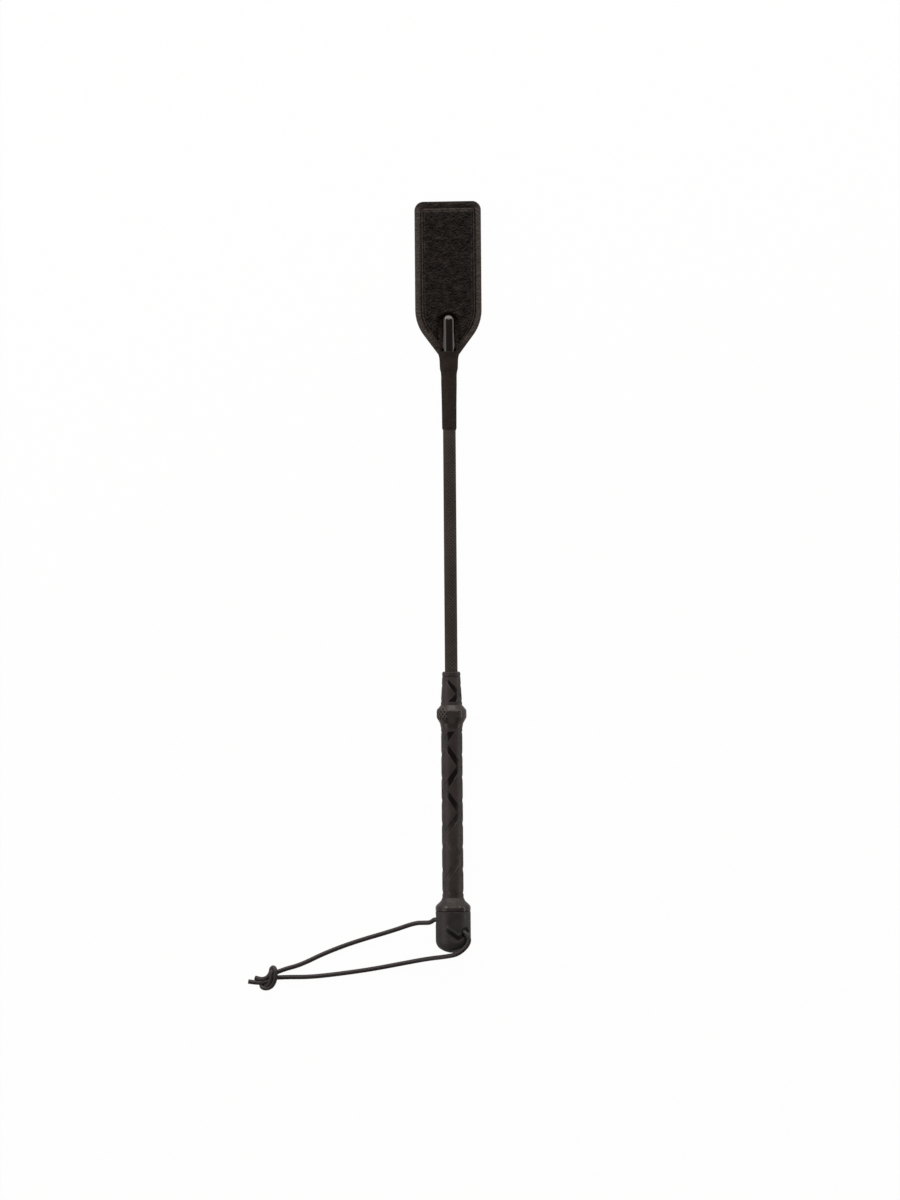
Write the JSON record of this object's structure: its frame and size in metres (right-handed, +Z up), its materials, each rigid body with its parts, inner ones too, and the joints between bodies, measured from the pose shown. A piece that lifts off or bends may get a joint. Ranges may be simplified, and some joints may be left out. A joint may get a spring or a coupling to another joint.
{
  "type": "riding crop",
  "caption": "Slender riding crop lying flat: flared grip with raised diamond relief, braided shaft, padded leather flap and a knotted cord wrist loop.",
  "frame": {"origin": "on the surface that the crop lies on, below the middle of its length, cord loop not counted", "axes": "+Y along the crop towards the leather flap, +X to the right with the flap at the top, so the wrist loop lies towards -X, +Z up, out of the flap's front face"},
  "size_m": [0.1792, 0.5906, 0.0269],
  "materials": {
    "rod_fibreglass": "matte",
    "shaft_braid": "braided, matte",
    "tip_gloss": "glossy",
    "binding_thread": "fine wound thread, matte",
    "handle_rubber": "satin",
    "flap_leather": "pebbled, satin",
    "flap_felt": "felt",
    "wrist_cord": "twisted cord"
  },
  "bodies": {
    "shaft": {"shaft_rod": "rod_fibreglass", "shaft_cover": "shaft_braid", "tip_cap": "tip_gloss", "neck_binding": "binding_thread", "nose_cone": "handle_rubber", "collar_ring": "handle_rubber", "grip_sleeve": "handle_rubber", "butt_cap": "handle_rubber", "front_panel_root": "flap_leather", "back_panel_root": "flap_leather", "pad_root": "flap_felt"},
    "flap": {"front_panel": "flap_leather", "back_panel": "flap_leather", "flap_pad": "flap_felt"},
    "wrist_loop": {"wrist_cord_bore": "wrist_cord", "wrist_cord_left": "wrist_cord", "wrist_cord_right": "wrist_cord", "wrist_knot": "wrist_cord", "cord_end_short": "wrist_cord", "cord_end_long": "wrist_cord"}
  },
  "joints": [
    {"name": "flap_flex", "type": "hinge", "parent": "shaft", "child": "flap", "pos_m": [0, 0.21172, 0.00475], "axis": [1, 0, 0], "range_deg": [-35, 35], "stiffness_Nm_per_rad": 0.15},
    {"name": "loop_swing", "type": "hinge", "parent": "shaft", "child": "wrist_loop", "pos_m": [-0.00186, -0.25983, 0.01881], "axis": [-0.8763, 0.3787, -0.2978], "range_deg": [0, 90]}
  ]
}
